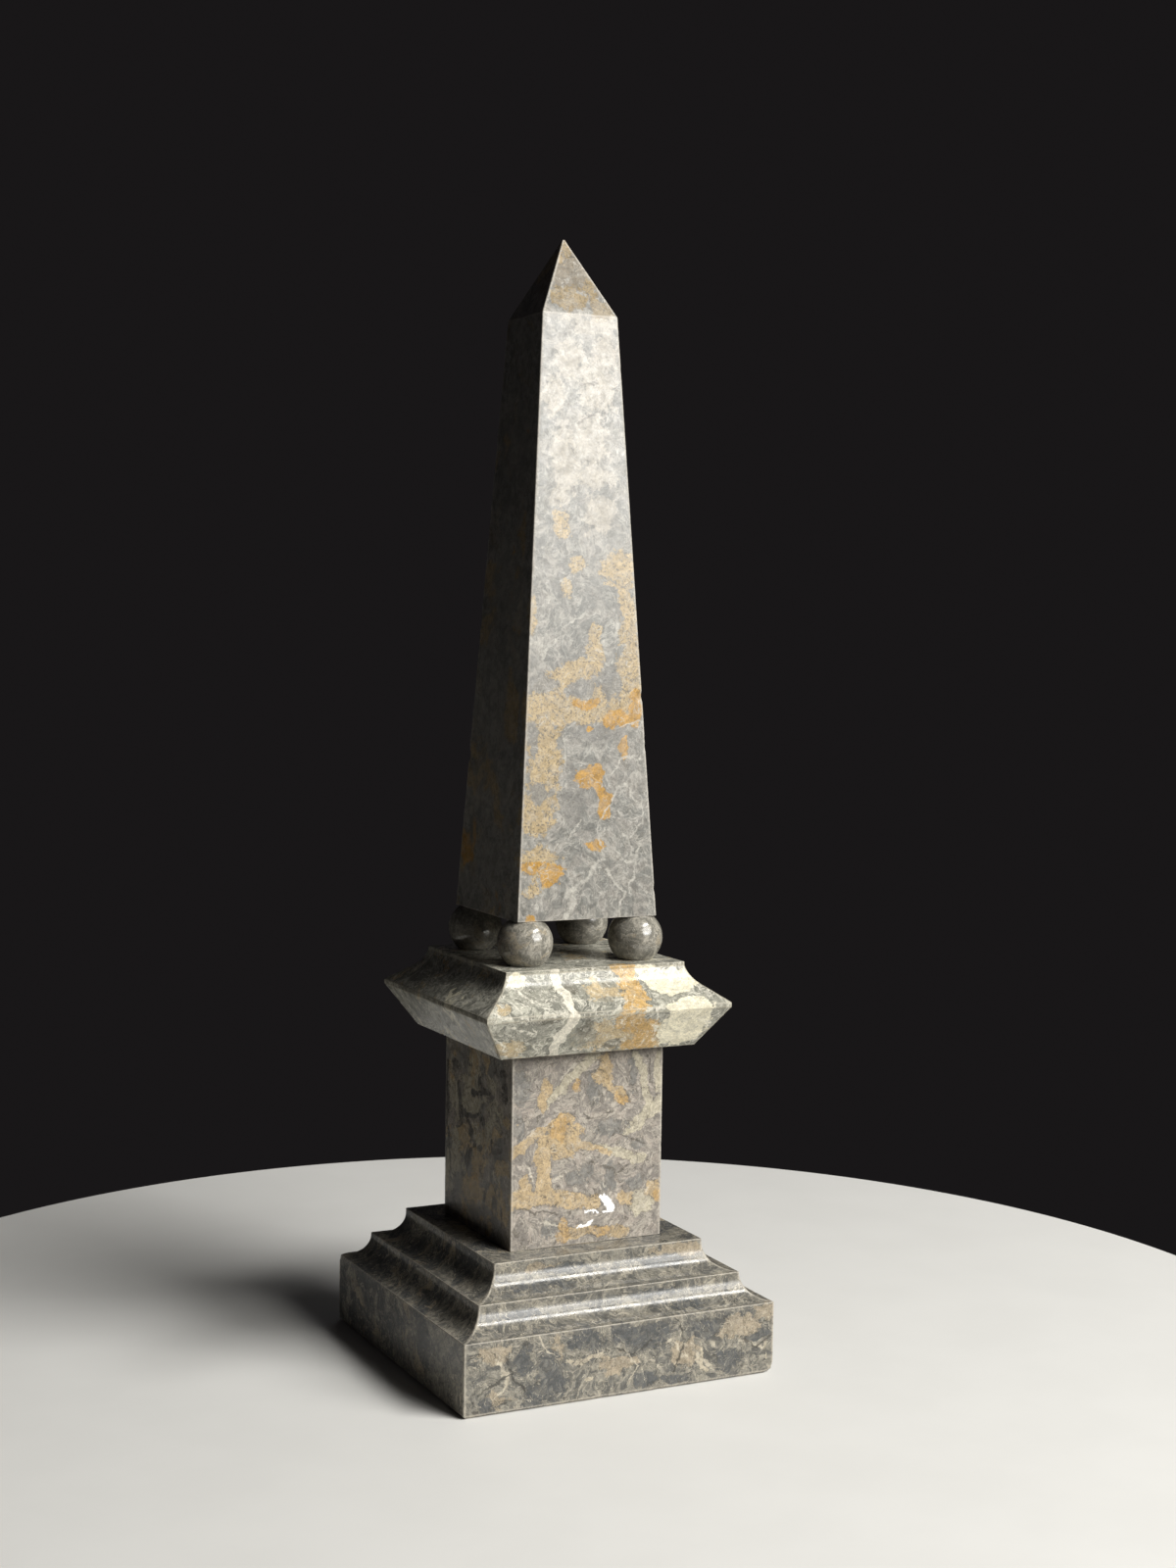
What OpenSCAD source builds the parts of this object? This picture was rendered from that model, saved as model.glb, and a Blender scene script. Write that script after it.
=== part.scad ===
// Desk obelisk of polished marble, built from stones of different colour.
// A stepped base carries a square die, the die carries a moulded cap, and four
// stone balls on the cap carry a tapered shaft with a pyramid tip.
// Millimetres, +Z up. The origin is the middle of the base's underside.

/* [Base] */
// Width of the square base stone at its plinth
base_w = 150; // [120:1:220]
// Height of the plinth's upright side
plinth_h = 32; // [10:0.5:60]
// Bevel along the plinth's bottom arris
foot_bevel = 1.2; // [0.2:0.1:4]
// Radius of the lower cove, which starts at the plinth's top arris
lower_cove_r = 11.5; // [4:0.1:14]
// Upright lip above the lower cove
lower_lip_h = 0.5; // [0.2:0.1:6]
// Width of the level ledge between the lower lip and the upper cove
ledge_w = 1; // [0.2:0.1:4]
// Radius of the upper cove
upper_cove_r = 11.5; // [4:0.1:14]
// Upright lip above the upper cove
upper_lip_h = 1.8; // [0.2:0.1:6]

/* [Die] */
// Width of the square die
die_w = 74.3; // [50:0.1:80]
// Height of the die
die_h = 87.5; // [40:0.5:160]

/* [Cap] */
// Width of the cap's underside
cap_foot_w = 94.7; // [82:0.1:96]
// Width of the cap at its nosing, which is its widest place
cap_w = 119; // [98:0.5:145]
// Width of the cap's top, which carries the balls
cap_top_w = 87.6; // [72:0.1:96]
// Height of the straight flare from the underside out to the nosing
flare_h = 18.3; // [6:0.1:40]
// Height of the upright nosing band
nosing_h = 2; // [0.4:0.1:8]
// Height from the nosing to the top of the cove
cove_rise = 15.4; // [14:0.1:30]
// Radius of the hollow under the cap's top fillet
cap_cove_r = 14; // [6:0.5:15]
// Slope of the hollow where it meets the top fillet, in degrees
cap_cove_slope = 76; // [68:1:88]
// Height of the upright fillet round the cap's top
fillet_h = 1.5; // [0.4:0.1:6]

/* [Balls] */
// Diameter of the stone balls
ball_d = 24.7; // [18:0.1:34]
// Diameter of the flat ground on each ball's top and bottom
ball_seat_d = 14.7; // [4:0.1:16]
// Distance from the shaft's foot arris in to the middle of a ball
ball_inset = 7; // [2:0.5:14]

/* [Shaft] */
// Width of the shaft's foot
shaft_foot_w = 68.4; // [56:0.1:84]
// Width of the shaft where the pyramid tip starts
shaft_neck_w = 36.8; // [16:0.1:54]
// Height of the tapered shaft up to the pyramid tip
shaft_h = 265.3; // [120:0.5:420]
// Height of the pyramid tip
tip_h = 34.9; // [10:0.5:80]
// Width of the small flat left on the very point
point_w = 1; // [0.4:0.1:6]

/* [Hidden] */
$fn = 96;

// How far a crossed extrusion runs past the stone's widest place
overrun = 2;

// Height of a ball between its flats, to the nearest tenth
ball_h = round(10 * sqrt(ball_d * ball_d - ball_seat_d * ball_seat_d)) / 10;

// Levels of the beds, from the base's underside up
lower_step_z = plinth_h + lower_cove_r + lower_lip_h;
die_z = lower_step_z + upper_cove_r + upper_lip_h;
cap_z = die_z + die_h;
cap_h = flare_h + nosing_h + cove_rise + fillet_h;
ball_z = cap_z + cap_h;
shaft_z = ball_z + ball_h;

// Half widths of the base's steps
lower_step_x = base_w / 2 - lower_cove_r;
upper_step_x = lower_step_x - ledge_w - upper_cove_r;

// The ball's middle from the obelisk's axis, along X and along Y
ball_reach = shaft_foot_w / 2 - ball_inset;

// The cap's hollow: a straight slope rises from the nosing's top arris and
// runs tangent into an arc, which ends at the foot of the top fillet
nosing_top = [cap_w / 2, flare_h + nosing_h];
hollow_top = [cap_top_w / 2, nosing_top.y + cove_rise];
hollow_axis = hollow_top + cap_cove_r * [sin(cap_cove_slope), cos(cap_cove_slope)];
to_axis = hollow_axis - nosing_top;
slope_run = sqrt(to_axis * to_axis - cap_cove_r * cap_cove_r);
slope_angle = atan2(to_axis.y, to_axis.x) + asin(cap_cove_r / norm(to_axis));
slope_end = nosing_top + slope_run * [cos(slope_angle), sin(slope_angle)];

// A full outline from its right-hand half, listed from the bottom up
function both_sides(half) = concat(
    half,
    [for (i = [len(half) - 1 : -1 : 0]) [-half[i].x, half[i].y]]
);

// A square stone that shows the same outline from the front and from the side
module square_stone(width) {
    intersection() {
        rotate([90, 0, 0])
            linear_extrude(height = width + overrun, center = true)
                children();
        rotate([90, 0, 90])
            linear_extrude(height = width + overrun, center = true)
                children();
    }
}

// The same round cut on the right and on the left of an outline
module round_cuts(centre, radius) {
    for (side = [-1, 1])
        translate([side * centre.x, centre.y])
            circle(r = radius);
}

// Outline of the base: plinth, lower cove and lip, ledge, upper cove and lip
module base_outline() {
    difference() {
        polygon(both_sides([
            [base_w / 2 - foot_bevel, 0],
            [base_w / 2, foot_bevel],
            [base_w / 2, plinth_h],
            [lower_step_x, plinth_h + lower_cove_r],
            [lower_step_x, lower_step_z],
            [lower_step_x - ledge_w, lower_step_z],
            [upper_step_x, lower_step_z + upper_cove_r],
            [upper_step_x, die_z],
        ]));
        round_cuts([base_w / 2, plinth_h + lower_cove_r], lower_cove_r);
        round_cuts([upper_step_x + upper_cove_r, lower_step_z + upper_cove_r], upper_cove_r);
    }
}

// Outline of the cap, from its own underside: flare, nosing, hollow and fillet
module cap_outline() {
    difference() {
        polygon(both_sides([
            [cap_foot_w / 2, 0],
            [cap_w / 2, flare_h],
            nosing_top,
            slope_end,
            hollow_top,
        ]));
        round_cuts(hollow_axis, cap_cove_r);
    }
    translate([-hollow_top.x, hollow_top.y])
        square([2 * hollow_top.x, fillet_h]);
}

// Outline of the shaft and its pyramid tip, from its own foot
module shaft_outline() {
    polygon(both_sides([
        [shaft_foot_w / 2, 0],
        [shaft_neck_w / 2, shaft_h],
        [point_w / 2, shaft_h + tip_h],
    ]));
}

module base() {
    color([0.36, 0.37, 0.34])
        square_stone(base_w)
            base_outline();
}

module die() {
    color([0.57, 0.53, 0.49])
        translate([-die_w / 2, -die_w / 2, die_z])
            cube([die_w, die_w, die_h]);
}

module cap() {
    color([0.58, 0.61, 0.56])
        translate([0, 0, cap_z])
            square_stone(cap_w)
                cap_outline();
}

// One ball, with flats where it stands on the cap and where it carries the shaft
module ball(side_x, side_y) {
    color([0.62, 0.60, 0.54])
        translate([side_x * ball_reach, side_y * ball_reach, ball_z + ball_h / 2])
            intersection() {
                sphere(d = ball_d);
                cube([ball_d + overrun, ball_d + overrun, ball_h], center = true);
            }
}

module shaft() {
    color([0.66, 0.67, 0.66])
        translate([0, 0, shaft_z])
            square_stone(shaft_foot_w)
                shaft_outline();
}

base();
die();
cap();
ball(-1, -1);  // ball_front_left
ball(1, -1);  // ball_front_right
ball(-1, 1);  // ball_back_left
ball(1, 1);  // ball_back_right
shaft();
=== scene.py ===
import math

import bpy
import numpy as np
from mathutils import Matrix, Vector, noise


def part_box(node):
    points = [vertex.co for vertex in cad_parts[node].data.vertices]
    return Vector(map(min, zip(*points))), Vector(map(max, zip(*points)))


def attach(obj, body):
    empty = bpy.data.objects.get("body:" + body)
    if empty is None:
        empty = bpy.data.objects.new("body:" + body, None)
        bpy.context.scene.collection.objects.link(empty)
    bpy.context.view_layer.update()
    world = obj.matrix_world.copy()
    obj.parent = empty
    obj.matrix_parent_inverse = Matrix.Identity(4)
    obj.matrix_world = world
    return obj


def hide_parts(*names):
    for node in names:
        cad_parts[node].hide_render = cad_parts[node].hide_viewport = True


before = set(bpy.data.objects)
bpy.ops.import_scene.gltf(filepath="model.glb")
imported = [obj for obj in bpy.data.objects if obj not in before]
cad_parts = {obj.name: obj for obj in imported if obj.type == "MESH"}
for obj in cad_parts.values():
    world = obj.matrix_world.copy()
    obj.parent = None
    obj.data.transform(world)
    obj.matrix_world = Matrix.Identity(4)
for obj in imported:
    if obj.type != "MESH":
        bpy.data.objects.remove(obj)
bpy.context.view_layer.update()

# A desk obelisk of polished marble. Each stone is cut again round the outline of its CAD solid, with eased
# and worn arrises, and every stone has its own marble. Sizes are millimetres until a mesh is written.
MM = 0.001
SQUARE_NODES = ("base", "die", "cap", "shaft")
BALL_NODES = ("ball_front_left", "ball_front_right", "ball_back_left", "ball_back_right")
# The wandering noise starts from this, so that every run gives the same stones
NOISE_SEED = 2
noise.seed_set(NOISE_SEED)


# ---------------------------------------------------------------- outlines, read from the CAD solids

# A sharper turn than this is a corner, and a smaller one is part of a hollow
CORNER_TURN = math.radians(12)
# The first step from a corner, and how much longer each following step is
FINE_STEP = 0.3
STEP_GROWTH = 1.35
# A flat bed wider than NARROW_BED has steps this many times as long
BED_STEP = 6
NARROW_BED = 3
# An eased corner takes at most this share of the run on either side
EASE_SHARE = 0.3
# The middle of the top bed, as a share of its half width
TOP_MIDDLE = 0.4
# Sizes that differ by less are the same
SAME = 1e-6
# The distance to an arris where there is none
FAR = 1e3


def outline_of(node):
    """The right-hand outline of a square stone, from the bottom up, read along its diagonal arris."""
    on_arris = {
        (round(v.co.z / MM, 3), -round(v.co.x / MM, 3))
        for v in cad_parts[node].data.vertices
        if v.co.x > 0 and abs(v.co.x - v.co.y) < SAME
    }
    return [np.array((-x, z)) for z, x in sorted(on_arris)]


def half_width(outline, z):
    """How far the stone's face stands from the axis at one height."""
    heights = [p[1] for p in outline]
    return float(np.interp(z, heights, [p[0] for p in outline]))


def turn_at(a, b, c):
    """The change of direction at b, on the way from a to c."""
    first = math.atan2(*(b - a)[::-1])
    second = math.atan2(*(c - b)[::-1])
    return (second - first + math.pi) % (2 * math.pi) - math.pi


def lengths_of(points):
    """The lengths of the straight pieces from point to point."""
    return [np.linalg.norm(b - a) for a, b in zip(points, points[1:])]


def smooth_run(points, samples=12):
    """A curve through the points of one run between two corners, as a dense list."""
    if len(points) == 2:
        return list(points)
    lengths = lengths_of(points)
    chords = [(b - a) / s for a, b, s in zip(points, points[1:], lengths)]
    slopes = [chords[0]]
    for i in range(1, len(chords)):
        slope = chords[i - 1] * lengths[i] + chords[i] * lengths[i - 1]
        slopes.append(slope / np.linalg.norm(slope))
    slopes.append(chords[-1])
    dense = []
    for i, length in enumerate(lengths):
        for t in np.linspace(0, 1, samples, endpoint=False):
            dense.append(
                (2 * t**3 - 3 * t**2 + 1) * points[i]
                + (t**3 - 2 * t**2 + t) * length * slopes[i]
                + (3 * t**2 - 2 * t**3) * points[i + 1]
                + (t**3 - t**2) * length * slopes[i + 1]
            )
    return dense + [points[-1]]


def graded_steps(length, coarse):
    """Places along a run: close together at both ends and no further apart than the coarse step."""
    half, at, step = [0.0], 0.0, FINE_STEP
    while at + step < length / 2:
        at += step
        half.append(at)
        step = min(step * STEP_GROWTH, coarse)
    return np.array(half + [length - d for d in reversed(half)])


def worked_outline(outline, ease, coarse, inner):
    """Levels of a stone as (half width, height, distance to the nearest arris, whether it is on a bed).

    The outline gains its flat beds, its corners are eased to small arcs, and its runs are divided."""
    bottom = np.array((inner, outline[0][1]))
    top = np.array((min(inner, outline[-1][0] * TOP_MIDDLE), outline[-1][1]))
    points = [bottom, *outline, top]
    corners = [
        i for i in range(1, len(points) - 1)
        if abs(turn_at(points[i - 1], points[i], points[i + 1])) > CORNER_TURN
    ]
    stops = [0, *corners, len(points) - 1]
    runs = [smooth_run(points[a:b + 1]) for a, b in zip(stops, stops[1:])]
    levels = []
    for n, run in enumerate(runs):
        marks = np.concatenate([[0], np.cumsum(lengths_of(run))])
        length = marks[-1]
        cut = min(ease, EASE_SHARE * length)
        first = cut if n > 0 else 0
        last = cut if n < len(runs) - 1 else 0
        flat = abs(run[0][1] - run[-1][1]) < SAME and length > NARROW_BED
        for d in graded_steps(length - first - last, BED_STEP * coarse if flat else coarse) + first:
            x = np.interp(d, marks, [p[0] for p in run])
            z = np.interp(d, marks, [p[1] for p in run])
            near = min(d if n > 0 else FAR, length - d if n < len(runs) - 1 else FAR)
            levels.append((x, z, near, flat))
        if n < len(runs) - 1:
            corner = run[-1]
            following = runs[n + 1]
            away = (following[1] - corner) / np.linalg.norm(following[1] - corner)
            start = np.array(levels[-1][:2])
            end = corner + away * min(ease, EASE_SHARE * sum(lengths_of(following)))
            for t in (0.25, 0.5, 0.75):
                p = (1 - t) ** 2 * start + 2 * t * (1 - t) * corner + t**2 * end
                levels.append((p[0], p[1], 0.0, False))
    return levels


# ---------------------------------------------------------------- worn arrises

# Light wear all along an arris: its mean depth, and how far in it reaches
RUB_DEPTH = 0.05
RUB_REACH = 0.9
# Chips: the noise that one starts from, how fast it deepens, its full depth, and how far in it reaches
CHIP_START = 0.42
CHIP_SLOPE = 1.6
CHIP_DEPTH = 0.55
CHIP_REACH = 1.7
# Further in than this nothing is worn
WORN_WITHIN = 4
# How far in the polish has gone, and how dull an arris, a place worn 1 mm deep and a dent's middle are
DULL_REACH = 0.42
DULL_ARRIS = 0.8
DULL_DEPTH = 0.7
DULL_DENT = 0.6


def wear_depth(place, near, offset):
    """How much stone is missing at a place near an arris: light wear all along, and chips here and there."""
    p = Vector(place) + offset
    rub = RUB_DEPTH + 0.07 * noise.noise(p * 0.21) + 0.05 * noise.noise(p * 0.9)
    chip = noise.noise(p * 0.13) + 0.55 * noise.noise(p * 0.47) - CHIP_START
    depth = max(rub, 0) * math.exp(-((near / RUB_REACH) ** 2))
    if chip > 0:
        rough = 0.75 + 0.5 * noise.noise(p * 2.1)
        depth += min(chip * CHIP_SLOPE, CHIP_DEPTH) * rough * math.exp(-((near / CHIP_REACH) ** 2))
    return depth


def wear_arrises(mesh, nearness, offset, dents, soften):
    """Moves the points by the arrises inwards and keeps how worn each place is as the attribute "wear".

    A dent is (middle, reach, depth)."""
    normals = [v.normal.copy() for v in mesh.vertices]
    worn = np.zeros(len(mesh.vertices), dtype=np.float32)
    for v, normal, near in zip(mesh.vertices, normals, nearness):
        place = v.co / MM
        depth = wear_depth(place, near, offset) * soften if near < WORN_WITHIN else 0.0
        dull = math.exp(-((near / DULL_REACH) ** 2)) * DULL_ARRIS + depth * DULL_DEPTH
        worn[v.index] = min(1.0, dull)
        for middle, reach, deep in dents:
            away = (place - Vector(middle)).length / reach
            if away < 1:
                ragged = 1 + 0.35 * noise.noise(place * 0.8 + offset)
                depth += deep * ragged * (1 - away * away) ** 1.5
                worn[v.index] = max(worn[v.index], DULL_DENT * (1 - away))
        v.co -= normal * depth * MM
    layer = mesh.attributes.new("wear", "FLOAT", "POINT")
    layer.data.foreach_set("value", worn)
    mesh.update()


# ---------------------------------------------------------------- stones

# Cuts in the small round between two sides
ARC_CUTS = 4
# How even the points across a side are, from 0, crowded towards the arrises, to 1
EVENNESS = 0.3
# The cosine and sine of each quarter turn
QUARTER_TURNS = ((1, 0), (0, 1), (-1, 0), (0, -1))
# A turned ball: points round it, levels up it, and the width of the softened rim round its flats
BALL_SIDES = 72
BALL_LEVELS = 37
BALL_RIM = 0.35


def side_places(count):
    """Places across one side from -1 to 1, closer together towards the arrises."""
    even = np.linspace(-1, 1, count)
    return EVENNESS * even + (1 - EVENNESS) * np.sin(even * math.pi / 2)


def add_piece(name, mesh):
    """A new object at the origin, in the scene."""
    piece = bpy.data.objects.new(name, mesh)
    bpy.context.scene.collection.objects.link(piece)
    return piece


def ringed_mesh(name, points, ring):
    """A closed mesh from equal rings of points, listed from the bottom up, with a face over each end."""
    count = len(points) // ring
    faces = [
        (i * ring + j, i * ring + (j + 1) % ring, (i + 1) * ring + (j + 1) % ring, (i + 1) * ring + j)
        for i in range(count - 1)
        for j in range(ring)
    ]
    faces.append(tuple(reversed(range(ring))))
    faces.append(tuple(range((count - 1) * ring, count * ring)))
    mesh = bpy.data.meshes.new(name)
    mesh.from_pydata(points, [], faces)
    mesh.update()
    mesh.shade_smooth()
    return mesh


def square_stone(name, outline, columns, coarse, ease, arris, offset, dents=(), soften=1.0, inner=1.0):
    """A square stone that shows the same outline on all four sides.

    columns: points across a side. coarse: the longest step up a side. ease, arris: how far the corners of
    the outline and the upright arrises are rounded. offset: moves the noise of the wear. soften: how much
    of the wear this stone has. inner: half width of the small faces in the middle of its beds."""
    across = side_places(columns)
    arc = np.linspace(-math.pi / 2, 0, ARC_CUTS + 1)[1:-1]
    points, nearness = [], []
    for half, z, near, flat in worked_outline(outline, ease, coarse, inner):
        rounding = min(arris, EASE_SHARE * half)
        inside = half - rounding
        side = [(t * inside, -half) for t in across]
        side += [(inside + rounding * math.cos(a), -inside + rounding * math.sin(a)) for a in arc]
        to_arris = [(1 - abs(t)) * inside for t in across] + [0.0] * len(arc)
        for c, s in QUARTER_TURNS:
            points += [((x * c - y * s) * MM, (x * s + y * c) * MM, z * MM) for x, y in side]
            nearness += [near if flat else min(near, d) for d in to_arris]
    mesh = ringed_mesh(name, points, 4 * (columns + len(arc)))
    wear_arrises(mesh, nearness, offset, dents, soften)
    return add_piece(name, mesh)


def turned_ball(name, node, offset):
    """A turned stone ball with a flat ground on its top and bottom, and a softened rim round each flat."""
    low, high = [np.array(corner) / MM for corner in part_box(node)]
    middle = (low + high) / 2
    radius = (high[0] - low[0]) / 2
    flat_z = (high[2] - low[2]) / 2
    flat_r = math.sqrt(radius**2 - flat_z**2)
    flat_rise = math.asin(flat_z / radius)
    # The lower flat, from its middle out, as (radius, height, distance to the rim)
    flat = [
        (0.2, -flat_z, FAR),
        (flat_r * 0.5, -flat_z, FAR),
        (flat_r - 2 * BALL_RIM, -flat_z, 2 * BALL_RIM),
        (flat_r - BALL_RIM, -flat_z + 0.02, BALL_RIM),
        (flat_r - 0.05, -flat_z + 0.15, 0),
    ]
    rises = np.linspace(-flat_rise, flat_rise, BALL_LEVELS)[1:-1]
    round_part = [(radius * math.cos(a), radius * math.sin(a), FAR) for a in rises]
    profile = flat + round_part + [(r, -z, near) for r, z, near in reversed(flat)]
    turns = [2 * math.pi * k / BALL_SIDES for k in range(BALL_SIDES)]
    points = [
        ((middle[0] + r * math.cos(a)) * MM, (middle[1] + r * math.sin(a)) * MM, (middle[2] + z) * MM)
        for r, z, _ in profile
        for a in turns
    ]
    nearness = [near for _, _, near in profile for _ in turns]
    mesh = ringed_mesh(name, points, BALL_SIDES)
    wear_arrises(mesh, nearness, offset, (), 0.5)
    return add_piece(name, mesh)


# ---------------------------------------------------------------- placed marks

# A mark is (x, z, half width, half height), or a stroke ((x, z), (x, z), ..., half width), on the front
# face. Marks listed under "left_" and a zone's name lie on the left face, where x runs from the back to
# the front.

# How far into the stone a mark reaches, where that is more than the smaller of its half sizes
DEPTH_OF_MARKS = 4.0
# Edges on the front are made ragged along the face, and hardly at all across it
FRONT_WAYS = (1.0, 0.12, 1.0)
# How a zone's places wander: sizes of the swirls, and how far they reach
WANDER = ((9.0, 2.4), (3.5, 1.0))
WANDER_ACROSS = 0.2
# The distance to a zone's marks, as a share of their size, where there are none
NO_MARK = 9.0


def is_stroke(mark):
    return isinstance(mark[0], tuple)


def stroke_pieces(mark, face):
    """The straight pieces of a stroke, as pairs of places on the stone."""
    ends = [face(*end) for end in mark[:-1]]
    return list(zip(ends, ends[1:]))


def spot_spread(wide, high):
    """What turns a distance along X, Y and Z into a share of an oval spot's half sizes."""
    return (1 / wide, 1 / max(min(wide, high), DEPTH_OF_MARKS), 1 / high)


def spot_distance(places, centre, wide, high):
    """The distance of each place to an oval spot, as a share of its half sizes."""
    return np.linalg.norm((places - centre) * np.array(spot_spread(wide, high)), axis=1)


def stroke_distance(places, start, end, wide):
    """The distance of each place to a straight stroke, as a share of the stroke's half width."""
    start, along = np.array(start), np.array(end) - np.array(start)
    share = np.clip((places - start) @ along / (along @ along), 0, 1)
    return np.linalg.norm(places - start - share[:, None] * along, axis=1) / wide


def lay_out_zones(mesh, face, marks, zones):
    """Keeps how far each point of a stone is from each zone's nearest mark, as "near_" and the zone.

    The places wander a little first, so that no zone has an even edge."""
    front = np.array([v.co / MM for v in mesh.vertices])
    # The same points with the left face turned round to the front
    sides = {"": front, "left_": front[:, (1, 0, 2)] * (-1, 1, 1)}
    for side, places in sides.items():
        for size, reach in WANDER:
            drift = np.array([noise.noise_vector(Vector(place) / size) for place in places])
            places = places + drift * (reach, WANDER_ACROSS, reach)
        sides[side] = places
    for zone in zones:
        nearest = np.full(len(front), NO_MARK)
        for side, places in sides.items():
            for mark in marks.get(side + zone, []):
                if is_stroke(mark):
                    for start, end in stroke_pieces(mark, face):
                        nearest = np.minimum(nearest, stroke_distance(places, start, end, mark[-1]))
                else:
                    nearest = np.minimum(nearest, spot_distance(places, face(*mark[:2]), *mark[2:]))
        layer = mesh.attributes.new("near_" + zone, "FLOAT", "POINT")
        layer.data.foreach_set("value", nearest.astype(np.float32))


# ---------------------------------------------------------------- shader building

class Recipe:
    """One material's nodes. Values passed to a method may be numbers, tuples or other nodes' outputs."""

    def __init__(self, name):
        self.material = bpy.data.materials.new(name)
        self.material.use_nodes = True
        self.tree = self.material.node_tree
        self.shader = self.tree.nodes["Principled BSDF"]
        coordinates = self.tree.nodes.new("ShaderNodeTexCoord")
        self.place = self.vector("MULTIPLY", coordinates.outputs["Object"], (1 / MM,) * 3)

    def feed(self, socket, value):
        """Links a socket to another node's output, or sets it to a number or a tuple."""
        if isinstance(value, bpy.types.NodeSocket):
            self.tree.links.new(value, socket)
        elif value is not None:
            socket.default_value = value

    def math(self, operation, a, b=None, clamp=False):
        node = self.tree.nodes.new("ShaderNodeMath")
        node.operation = operation
        node.use_clamp = clamp
        self.feed(node.inputs[0], a)
        self.feed(node.inputs[1], b)
        return node.outputs[0]

    def vector(self, operation, a, b=None, c=None, scale=None):
        node = self.tree.nodes.new("ShaderNodeVectorMath")
        node.operation = operation
        for socket, value in zip(node.inputs, (a, b, c, scale)):
            self.feed(socket, value)
        return node.outputs["Value" if operation in ("LENGTH", "DOT_PRODUCT") else "Vector"]

    def noise(self, at, size, detail=4.0, roughness=0.55, colour=False):
        """Noise whose features are about size millimetres across; its value is about 0 to 1."""
        node = self.tree.nodes.new("ShaderNodeTexNoise")
        self.feed(node.inputs["Vector"], at)
        node.inputs["Scale"].default_value = 1 / size
        node.inputs["Detail"].default_value = detail
        node.inputs["Roughness"].default_value = roughness
        return node.outputs["Color" if colour else "Fac"]

    def cells(self, at, size):
        """The distance to the nearest wall between cells about size millimetres across."""
        return self.voronoi(at, size, "DISTANCE_TO_EDGE").outputs["Distance"]

    def cell_tone(self, at, size):
        """A random value from 0 to 1 for every cell about size millimetres across."""
        apart = self.tree.nodes.new("ShaderNodeSeparateColor")
        self.feed(apart.inputs[0], self.voronoi(at, size, "F1").outputs["Color"])
        return apart.outputs[0]

    def voronoi(self, at, size, feature):
        node = self.tree.nodes.new("ShaderNodeTexVoronoi")
        node.feature = feature
        self.feed(node.inputs["Vector"], at)
        node.inputs["Scale"].default_value = 1 / size
        return node

    def step(self, value, low, high, to_low=0.0, to_high=1.0):
        """A smooth step: to_low where the value is under low, to_high where it is over high."""
        node = self.tree.nodes.new("ShaderNodeMapRange")
        node.interpolation_type = "SMOOTHSTEP"
        self.feed(node.inputs["Value"], value)
        node.inputs["From Min"].default_value = low
        node.inputs["From Max"].default_value = high
        node.inputs["To Min"].default_value = to_low
        node.inputs["To Max"].default_value = to_high
        return node.outputs["Result"]

    def blend(self, amount, under, over, mode="MIX"):
        node = self.tree.nodes.new("ShaderNodeMix")
        node.data_type = "RGBA"
        node.blend_type = mode
        self.feed(node.inputs[0], amount)
        self.feed(node.inputs[6], under if isinstance(under, bpy.types.NodeSocket) else (*under, 1))
        self.feed(node.inputs[7], over if isinstance(over, bpy.types.NodeSocket) else (*over, 1))
        return node.outputs[2]

    def attribute(self, name):
        node = self.tree.nodes.new("ShaderNodeAttribute")
        node.attribute_name = name
        return node.outputs["Fac"]

    def times(self, *values):
        product = values[0]
        for value in values[1:]:
            product = self.math("MULTIPLY", product, value)
        return product

    def swirl(self, at, size, reach, detail=3.0, ways=(1.0, 1.0, 1.0)):
        """The place moved about by up to reach millimetres, in swirls about size millimetres across."""
        drift = self.vector("SUBTRACT", self.noise(at, size, detail, colour=True), (0.5, 0.5, 0.5))
        return self.vector("MULTIPLY_ADD", drift, tuple(4 * reach * way for way in ways), at)

    def thread(self, at, size, width):
        """Thin lines where a noise crosses its middle value: 1 on the line and 0 beside it."""
        off = self.math("ABSOLUTE", self.math("SUBTRACT", self.noise(at, size, 3.0, 0.5), 0.5))
        return self.step(off, 0.0, width, 1.0, 0.0)

    def to_marks(self, at, marks, face):
        """The distance to the nearest placed mark, as a share of that mark's own size."""
        distances = []
        for mark in marks:
            if is_stroke(mark):
                distances += [self.to_line(at, *ends, mark[-1]) for ends in stroke_pieces(mark, face)]
            else:
                distances.append(self.to_spot(at, face(*mark[:2]), *mark[2:]))
        nearest = distances[0]
        for distance in distances[1:]:
            nearest = self.math("MINIMUM", nearest, distance)
        return nearest

    def to_spot(self, at, centre, wide, high):
        """The distance to an oval spot, as a share of its half sizes."""
        spread = spot_spread(wide, high)
        shifted = self.vector("MULTIPLY_ADD", at, spread, tuple(-c * s for c, s in zip(centre, spread)))
        return self.vector("LENGTH", shifted)

    def to_line(self, at, start, end, wide):
        """The distance to a straight line between two places, as a share of the line's half width."""
        start, end = Vector(start), Vector(end)
        along = end - start
        offset = self.vector("SUBTRACT", at, tuple(start))
        travel = self.vector("DOT_PRODUCT", offset, tuple(along))
        share = self.math("MULTIPLY", travel, 1 / along.length_squared, clamp=True)
        foot = self.vector("SCALE", tuple(along), scale=share)
        distance = self.vector("LENGTH", self.vector("SUBTRACT", offset, foot))
        return self.math("DIVIDE", distance, wide)


# ---------------------------------------------------------------- marble

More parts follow.
